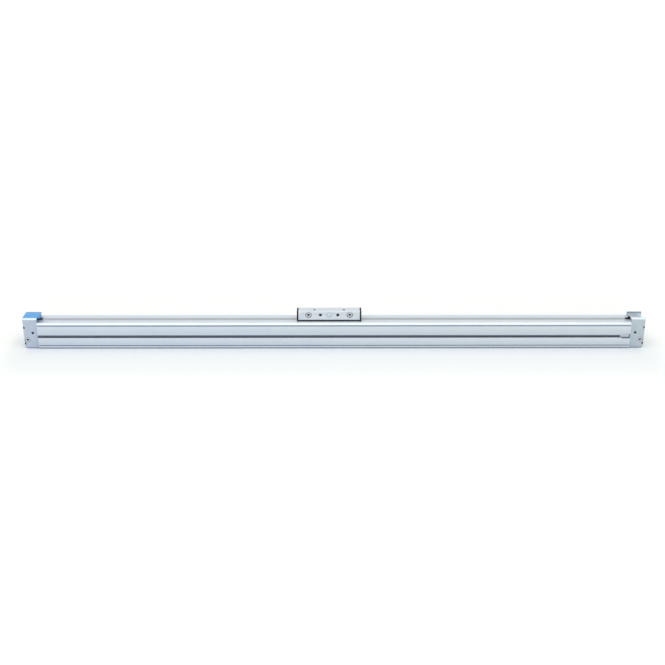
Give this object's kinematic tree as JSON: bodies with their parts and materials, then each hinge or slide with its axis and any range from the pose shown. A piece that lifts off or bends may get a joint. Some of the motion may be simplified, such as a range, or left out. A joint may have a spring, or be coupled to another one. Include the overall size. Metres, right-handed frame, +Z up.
{
  "type": "rodless pneumatic cylinder",
  "caption": "Long band-sealed air cylinder without a rod: a slotted aluminium barrel with end caps, and a low carriage that slides along its top.",
  "frame": {"origin": "centre of the bounding box at the floor, where the end caps stand", "axes": "+X along the barrel towards the end whose band cover is left off, +Y from the front face with the cushion screws to the back, +Z up"},
  "size_m": [1.1, 0.042, 0.0661],
  "materials": {
    "anodised_profile": "fine satin anodised extrusion",
    "cast_cap": "blasted and anodised, satin",
    "cover_band": "thin rolled strip",
    "seal_band": "smooth polyurethane strip",
    "machined_aluminium": "satin anodised, machined",
    "plated_screws": "zinc plated",
    "blackened_screws": "blackened",
    "spigot_steel": "turned and polished",
    "magnet_iron": "sintered",
    "seal_rubber": "matt",
    "black_plastic": "fine moulded grain",
    "blue_plastic": "half gloss moulded"
  },
  "bodies": {
    "barrel": {"profile_barrel": "anodised_profile", "outer_cover_band": "cover_band", "inner_seal_band": "seal_band", "left_end_cap": "cast_cap", "right_end_cap": "cast_cap", "left_cap_screws": "blackened_screws", "right_cap_screws": "blackened_screws", "left_cap_seal": "seal_rubber", "right_cap_seal": "seal_rubber", "left_bumper": "seal_rubber", "right_bumper": "seal_rubber", "left_cushion_spigot": "spigot_steel", "right_cushion_spigot": "spigot_steel", "left_band_clamp": "machined_aluminium", "right_band_clamp": "machined_aluminium", "left_band_guide": "black_plastic", "right_band_guide": "black_plastic", "left_clamp_screws": "plated_screws", "right_clamp_screws": "plated_screws", "left_band_cover": "blue_plastic", "left_port_plugs": "plated_screws", "right_port_plugs": "plated_screws"},
    "carriage": {"carriage_body": "machined_aluminium", "front_slide_strip": "black_plastic", "rear_slide_strip": "black_plastic", "left_wiper": "black_plastic", "right_wiper": "black_plastic", "carriage_screws": "plated_screws", "centre_plugs": "plated_screws", "piston_yoke": "machined_aluminium", "left_piston": "machined_aluminium", "right_piston": "machined_aluminium", "left_lip_seal": "seal_rubber", "right_lip_seal": "seal_rubber", "left_guide_ring": "black_plastic", "right_guide_ring": "black_plastic", "left_magnet": "magnet_iron", "right_magnet": "magnet_iron", "left_cushion_seal": "seal_rubber", "right_cushion_seal": "seal_rubber"},
    "left_needle": {"left_cushion_screw": "plated_screws"},
    "right_needle": {"right_cushion_screw": "plated_screws"}
  },
  "joints": [
    {"name": "carriage_slide", "type": "slide", "parent": "barrel", "child": "carriage", "axis": [1, 0, 0], "range_m": [-0.4415, 0.4585], "deforming": ["outer_cover_band", "inner_seal_band"]},
    {"name": "left_cushion_turn", "type": "hinge", "parent": "barrel", "child": "left_needle", "pos_m": [-0.5332, -0.0129, 0.0294], "axis": [0, -1, 0], "range_deg": [-720, 720]},
    {"name": "right_cushion_turn", "type": "hinge", "parent": "barrel", "child": "right_needle", "pos_m": [0.5332, -0.0129, 0.0294], "axis": [0, -1, 0], "range_deg": [-720, 720]}
  ]
}
